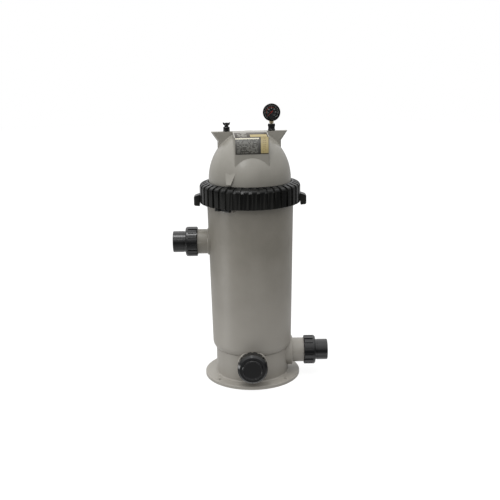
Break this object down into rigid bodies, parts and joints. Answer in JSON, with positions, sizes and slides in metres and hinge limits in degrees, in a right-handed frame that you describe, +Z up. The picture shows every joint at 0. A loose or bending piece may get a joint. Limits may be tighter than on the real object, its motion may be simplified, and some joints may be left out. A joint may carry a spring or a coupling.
{
  "type": "cartridge filter housing",
  "caption": "Upright cylindrical water filter housing with domed lid, threaded lock ring, side inlet, low outlet, drain, air relief and pressure gauge.",
  "frame": {"origin": "on the tank's axis, in the plane of the base flange's underside, at the centre of the four base bolt holes", "axes": "+Z up along the tank's axis; -Y is the front, where the drain and the label are; +X is the outlet's side and -X the inlet's side"},
  "size_m": [0.534, 0.3609, 0.9512],
  "materials": {
    "tank_plastic": "moulded, fine satin grain",
    "lid_plastic": "moulded, fine satin grain",
    "black_ring": "glass-filled, semi-gloss",
    "black_fitting": "moulded, glossy",
    "white_plastic": "extruded, satin",
    "label": "printed film, dark with gold bands",
    "seal_rubber": "moulded",
    "pleated_cloth": "spun-bonded polyester, pleated",
    "cap_urethane": "cast urethane",
    "steel": "stainless",
    "brass": "turned",
    "dial_face": "printed black dial",
    "needle_paint": "painted",
    "clear_lens": "clear polycarbonate"
  },
  "bodies": {
    "tank": {"tank_shell": "tank_plastic", "inlet_baffle": "white_plastic", "outlet_elbow": "white_plastic", "outlet_elbow_seal": "seal_rubber", "breather_tube": "white_plastic", "breather_screen": "black_fitting", "lock_tab_pin": "steel", "lock_tab_spring": "steel", "inlet_union_seal": "seal_rubber", "outlet_union_seal": "seal_rubber", "drain_seal": "seal_rubber"},
    "lock_tab": {"lock_tab": "black_fitting"},
    "cartridge": {"cartridge_media": "pleated_cloth", "cartridge_core": "white_plastic", "cartridge_bottom_cap": "cap_urethane", "cartridge_top_cap": "cap_urethane", "cartridge_bands": "pleated_cloth", "cartridge_seal": "seal_rubber"},
    "lid": {"lid_dome": "lid_plastic", "lid_seal": "seal_rubber", "rating_label": "label", "relief_body": "black_fitting", "gauge_adapter": "black_fitting", "gauge_seal": "seal_rubber", "gauge_socket": "brass", "gauge_case": "black_ring", "gauge_bezel": "black_ring", "gauge_lens": "clear_lens", "gauge_dial": "dial_face", "gauge_movement": "brass", "gauge_bourdon_tube": "brass"},
    "lock_ring": {"lock_ring": "black_ring"},
    "relief_plunger": {"relief_plunger": "black_fitting", "relief_seal": "seal_rubber"},
    "relief_knob": {"relief_knob": "black_fitting"},
    "gauge_needle": {"gauge_needle": "needle_paint", "gauge_pinion": "brass"},
    "gauge_sector": {"gauge_sector": "brass"},
    "inlet_tailpiece": {"inlet_tailpiece": "black_fitting"},
    "inlet_nut": {"inlet_union_nut": "black_fitting"},
    "outlet_tailpiece": {"outlet_tailpiece": "black_fitting"},
    "outlet_nut": {"outlet_union_nut": "black_fitting"},
    "drain_plug": {"drain_plug": "black_fitting"},
    "drain_nut": {"drain_nut": "black_fitting"}
  },
  "joints": [
    {"name": "cartridge_lift", "type": "slide", "parent": "tank", "child": "cartridge", "axis": [0, 0, 1], "range_m": [0, 0.68]},
    {"name": "lid_lift", "type": "slide", "parent": "cartridge", "child": "lid", "axis": [0, 0, 1], "range_m": [0, 0.25]},
    {"name": "lock_ring_turn", "type": "hinge", "parent": "lid", "child": "lock_ring", "pos_m": [0, 0, 0.66], "axis": [0, 0, 1], "range_deg": [0, 990]},
    {"name": "lock_tab_press", "type": "hinge", "parent": "tank", "child": "lock_tab", "pos_m": [-0.08528, -0.12643, 0.6165], "axis": [0.829, -0.5592, 0], "range_deg": [0, 20]},
    {"name": "relief_rise", "type": "slide", "parent": "lid", "child": "relief_plunger", "axis": [0, 0, 1], "range_m": [0, 0.003]},
    {"name": "relief_turn", "type": "hinge", "parent": "relief_plunger", "child": "relief_knob", "pos_m": [-0.07552, -0.00227, 0.885], "axis": [0, 0, 1], "range_deg": [0, 720]},
    {"name": "needle_swing", "type": "hinge", "parent": "lid", "child": "gauge_needle", "pos_m": [0.07511, 0.00826, 0.922], "axis": [-0.0698, 0.9976, 0], "range_deg": [0, 270]},
    {"name": "sector_swing", "type": "hinge", "parent": "lid", "child": "gauge_sector", "pos_m": [0.08608, 0.00903, 0.922], "axis": [0.0698, -0.9976, 0], "range_deg": [0, 45]},
    {"name": "inlet_tail_pull", "type": "slide", "parent": "tank", "child": "inlet_tailpiece", "axis": [-1, 0, 0], "range_m": [0, 0.024]},
    {"name": "inlet_nut_turn", "type": "hinge", "parent": "inlet_tailpiece", "child": "inlet_nut", "pos_m": [-0.2, 0, 0.484], "axis": [-1, 0, 0], "range_deg": [0, 1440]},
    {"name": "outlet_tail_pull", "type": "slide", "parent": "tank", "child": "outlet_tailpiece", "axis": [1, 0, 0], "range_m": [0, 0.024]},
    {"name": "outlet_nut_turn", "type": "hinge", "parent": "outlet_tailpiece", "child": "outlet_nut", "pos_m": [0.2, 0, 0.081], "axis": [1, 0, 0], "range_deg": [0, 1440]},
    {"name": "drain_plug_pull", "type": "slide", "parent": "tank", "child": "drain_plug", "axis": [0, -1, 0], "range_m": [0, 0.024]},
    {"name": "drain_nut_turn", "type": "hinge", "parent": "drain_plug", "child": "drain_nut", "pos_m": [0, -0.17, 0.08], "axis": [0, -1, 0], "range_deg": [0, 1440]}
  ],
  "couplings": [
    {"joint": "relief_turn", "follows": "relief_rise", "rad_per_m": 4188.8},
    {"joint": "needle_swing", "follows": "sector_swing", "ratio": 6},
    {"joint": "inlet_nut_turn", "follows": "inlet_tail_pull", "rad_per_m": 1047.2},
    {"joint": "outlet_nut_turn", "follows": "outlet_tail_pull", "rad_per_m": 1047.2},
    {"joint": "drain_nut_turn", "follows": "drain_plug_pull", "rad_per_m": 1047.2}
  ]
}
